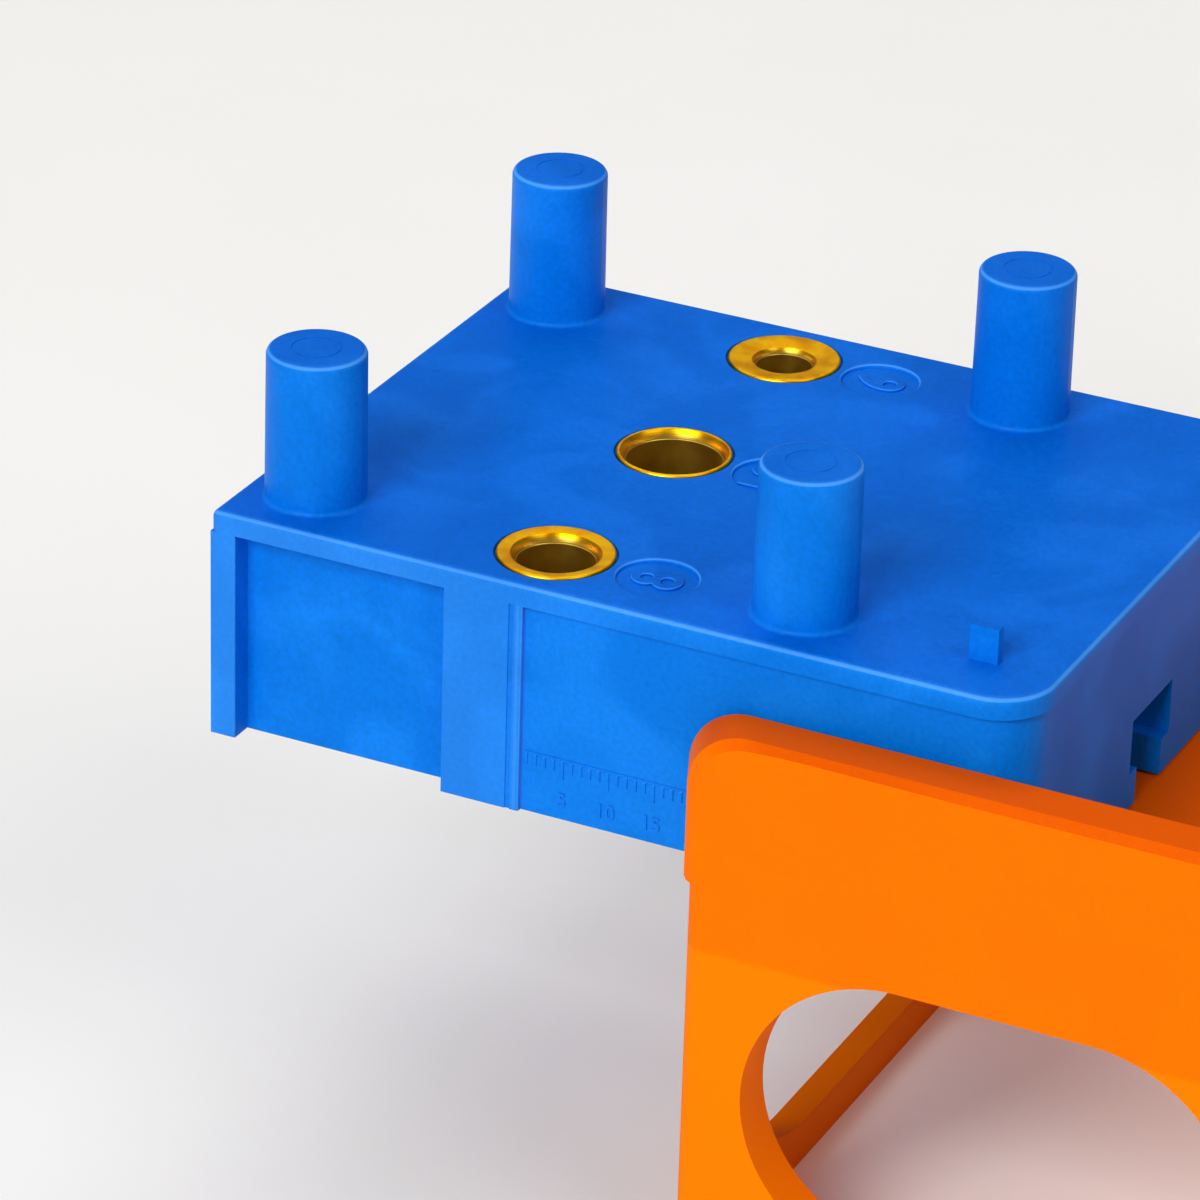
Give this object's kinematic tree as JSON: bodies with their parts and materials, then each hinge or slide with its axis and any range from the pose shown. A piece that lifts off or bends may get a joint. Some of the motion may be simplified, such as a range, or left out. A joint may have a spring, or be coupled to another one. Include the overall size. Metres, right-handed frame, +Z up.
{
  "type": "drill guide",
  "caption": "Hand-held dowel drilling guide: blue moulded body with tapered centring pegs and pressed-in drill bushes, on an orange sliding edge fence clamped from below.",
  "frame": {"origin": "on the axis of the middle (10 mm) bush, in the plane of the body's base face", "axes": "+Z up out of the board, along the bushes; X along the fence's travel, away from the contact face; Y along the row of bushes, from the 8 mm one to the 6 mm one"},
  "size_m": [0.122, 0.082, 0.0855],
  "materials": {
    "body_plastic": "satin",
    "fence_plastic": "satin",
    "bush_metal": "polished",
    "zinc_steel": "satin",
    "knob_plastic": "satin",
    "insert_brass": "satin"
  },
  "bodies": {
    "guide": {"guide_body": "body_plastic", "bush_8": "bush_metal", "bush_10": "bush_metal", "bush_6": "bush_metal"},
    "fence": {"fence": "fence_plastic", "clamp_bolt": "zinc_steel", "clamp_washer": "zinc_steel"},
    "knob": {"clamp_knob": "knob_plastic", "knob_insert": "insert_brass"}
  },
  "joints": [
    {"name": "fence_slide", "type": "slide", "parent": "guide", "child": "fence", "axis": [1, 0, 0], "range_m": [-0.0155, 0.0085]},
    {"name": "knob_turn", "type": "hinge", "parent": "fence", "child": "knob", "pos_m": [0.0395, 0, -0.012], "axis": [0, 0, -1], "range_deg": [0, 360]}
  ]
}
